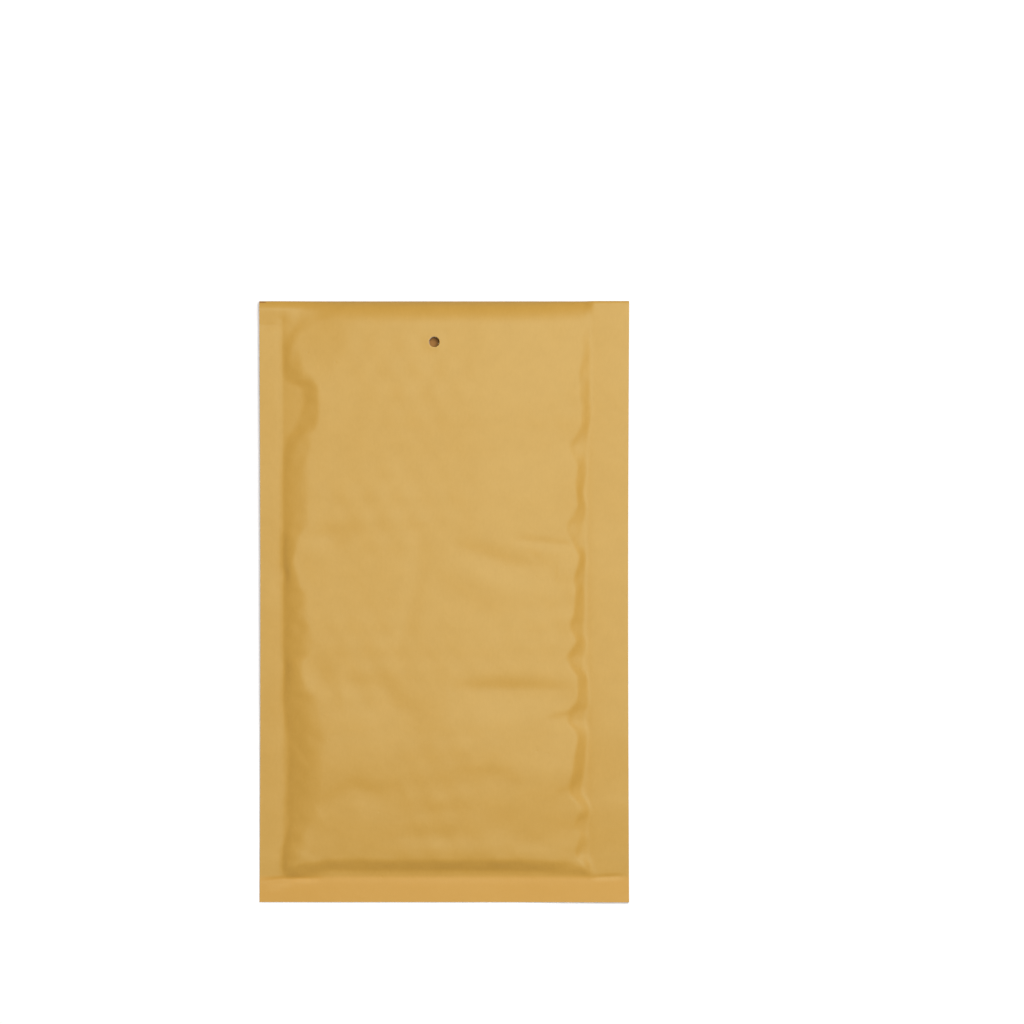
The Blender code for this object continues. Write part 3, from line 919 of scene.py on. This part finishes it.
def strip(name, stations, base, top):
    """A thin strip lying on the flap: stations are (y, left, right), base and top its heights."""
    bm = bmesh.new()
    made = bmesh.ops.create_grid(bm, x_segments=40, y_segments=len(stations) - 1, size=1)
    for vert in made["verts"]:
        y, left, right = stations[round((vert.co.y + 1) / 2 * (len(stations) - 1))]
        vert.co = (mix(left, right, (vert.co.x + 1) / 2), y, base)
    grown = bmesh.ops.extrude_face_region(bm, geom=bm.faces[:])["geom"]
    for item in grown:
        if isinstance(item, bmesh.types.BMVert):
            item.co.z = top
    bmesh.ops.recalc_face_normals(bm, faces=bm.faces)
    bmesh.ops.scale(bm, verts=bm.verts, vec=(MM, MM, MM))
    mesh = bpy.data.meshes.new(name)
    bm.to_mesh(mesh)
    bm.free()
    made = bpy.data.objects.new(name, mesh)
    bpy.context.scene.collection.objects.link(made)
    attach(made, "root")
    return made


def flap_side(y, side):
    """Where the flap's left (0) or right (1) side is at a height y up the throat."""
    taper = (SHOULDER_Y - y) / (SHOULDER_Y - FLAP_TIP_Y)
    return mix(FLAP_BASE[side], FLAP_TIP[side], taper)


adhesive = strip(
    "flap_adhesive_band",
    [(y, *ADHESIVE_ENDS) for y in np.linspace(ADHESIVE_FROM, ADHESIVE_TO, 6)],
    FLAP_INSIDE + 0.01,
    ADHESIVE_TOP,
)
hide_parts("flap_adhesive")
amber = bpy.data.materials.new("amber hot-melt adhesive")
amber.use_nodes = True
amber_tree = amber.node_tree
amber_shader = amber_tree.nodes["Principled BSDF"]
amber_shader.inputs["Roughness"].default_value = 0.25
amber_place = add_node(amber_tree, "ShaderNodeTexCoord")
# it is glossy, and slot coating leaves faint ribs about 1.2 mm apart
amber_flow = add_node(
    amber_tree,
    "ShaderNodeTexNoise",
    {"Scale": 1 / (1.2 * MM), "Detail": 2},
    {"Vector": amber_place.outputs["Object"]},
)
amber_colour = add_node(
    amber_tree,
    "ShaderNodeMix",
    {"data_type": "RGBA", 6: linear("C08F3E"), 7: linear("D8AC5C")},
    {0: amber_flow.outputs["Fac"]},
)
amber_tree.links.new(amber_colour.outputs[2], amber_shader.inputs["Base Color"])
amber_ribs = add_node(
    amber_tree,
    "ShaderNodeBump",
    {"Strength": 0.4, "Distance": 0.05 * MM},
    {"Height": amber_flow.outputs["Fac"]},
)
amber_tree.links.new(amber_ribs.outputs["Normal"], amber_shader.inputs["Normal"])
adhesive.data.materials.append(amber)

below_shoulder = [
    (y, flap_side(y, 0) + LINER_FROM_FLAP_SIDES, flap_side(y, 1) - LINER_FROM_FLAP_SIDES)
    for y in np.linspace(LINER_FROM, SHOULDER_Y, 10)
]
shoulder_sides = (LEFT_EDGE + LINER_FROM_PANEL_SIDES, RIGHT_EDGE - LINER_FROM_PANEL_SIDES)
liner = strip(
    "release_paper",
    below_shoulder + [(SHOULDER_Y + 0.01, *shoulder_sides), (LINER_TO, *shoulder_sides)],
    ADHESIVE_TOP + 0.02,
    LINER_TOP,
)
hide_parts("release_liner")
release = bpy.data.materials.new("siliconed release paper")
release.use_nodes = True
release_tree = release.node_tree
release_shader = release_tree.nodes["Principled BSDF"]
release_shader.inputs["Roughness"].default_value = 0.35
release_place = add_node(release_tree, "ShaderNodeTexCoord")
# the silicone gives it a low gloss, and the paper's formation shows as clouds about 4 mm across
release_clouds = add_node(
    release_tree,
    "ShaderNodeTexNoise",
    {"Scale": 1 / (4 * MM), "Detail": 3},
    {"Vector": release_place.outputs["Object"]},
)
release_colour = add_node(
    release_tree,
    "ShaderNodeMix",
    {"data_type": "RGBA", 6: linear("C6B7A9"), 7: linear("D4C7BB")},
    {0: release_clouds.outputs["Fac"]},
)
release_tree.links.new(release_colour.outputs[2], release_shader.inputs["Base Color"])
liner.data.materials.append(release)

# Floor, light and camera
# A plain white table, a broad lamp to the upper right, and a long lens straight above. The lamp and
# the paper's gloss began as a fit to brightness measured in the photograph, then were set one by one.

camera_data = bpy.data.cameras.new("camera")
camera_data.lens = 200
camera_data.sensor_width = 36
# what the picture spans on the table, and where its middle lies from the envelope's, in millimetres
FRAME_WIDTH = 385.4
FRAME_CENTRE = (25.48, 33.76)
camera = bpy.data.objects.new("camera", camera_data)
distance = FRAME_WIDTH * camera_data.lens / camera_data.sensor_width
camera.location = (FRAME_CENTRE[0] * MM, FRAME_CENTRE[1] * MM, distance * MM)
bpy.context.scene.collection.objects.link(camera)
bpy.context.scene.camera = camera

# the table lies a hair under the paper, so that the two faces don't fight
floor_bm = bmesh.new()
bmesh.ops.create_grid(floor_bm, x_segments=1, y_segments=1, size=3)
floor_mesh = bpy.data.meshes.new("floor")
floor_bm.to_mesh(floor_mesh)
floor_bm.free()
floor = bpy.data.objects.new("floor", floor_mesh)
floor.location.z = -0.02 * MM
bpy.context.scene.collection.objects.link(floor)
table = bpy.data.materials.new("white table")
table.use_nodes = True
table_tree = table.node_tree
table_shader = table_tree.nodes["Principled BSDF"]
table_shader.inputs["Base Color"].default_value = linear("E6E6E6")
table_shader.inputs["Roughness"].default_value = 0.9
table_shader.inputs["Specular IOR Level"].default_value = 0.1
table_shader.inputs["Emission Color"].default_value = (1, 1, 1, 1)
# only the camera sees the table lifted to white, so its shadow stays and no light is added
rays = add_node(table_tree, "ShaderNodeLightPath")
lift = add_node(
    table_tree,
    "ShaderNodeMath",
    {"operation": "MULTIPLY", 1: 0.3},
    {0: rays.outputs["Is Camera Ray"]},
)
table_tree.links.new(lift.outputs["Value"], table_shader.inputs["Emission Strength"])
floor_mesh.materials.append(table)

world = bpy.data.worlds.new("studio")
bpy.context.scene.world = world
world.use_nodes = True
world_tree = world.node_tree
background = world_tree.nodes["Background"]
background.inputs["Color"].default_value = (1, 1, 1, 1)
# the room is white to the camera, in gloss and through film, and dim as a light
AMBIENT = 0.1
world_rays = add_node(world_tree, "ShaderNodeLightPath")
seen = add_node(
    world_tree,
    "ShaderNodeMath",
    {"operation": "MAXIMUM"},
    {0: world_rays.outputs["Is Camera Ray"], 1: world_rays.outputs["Is Glossy Ray"]},
)
seen_or_through = add_node(
    world_tree,
    "ShaderNodeMath",
    {"operation": "MAXIMUM"},
    {0: seen.outputs["Value"], 1: world_rays.outputs["Is Transmission Ray"]},
)
strength = add_node(
    world_tree,
    "ShaderNodeMapRange",
    {"To Min": AMBIENT, "To Max": 1.0},
    {"Value": seen_or_through.outputs["Value"]},
)
world_tree.links.new(strength.outputs["Result"], background.inputs["Strength"])

# one broad lamp, 1.3 m off towards the upper right, shades the flanks softly
lamp_data = bpy.data.lights.new("key", "AREA")
lamp_data.shape = "DISK"
lamp_data.size = 0.6
lamp_data.energy = 17
lamp = bpy.data.objects.new("key", lamp_data)
lamp.location = (0.175, 0.2, 1.27)
lamp.rotation_euler = Vector(lamp.location).to_track_quat("Z", "Y").to_euler()
bpy.context.scene.collection.objects.link(lamp)

bpy.context.scene.view_settings.view_transform = "Standard"
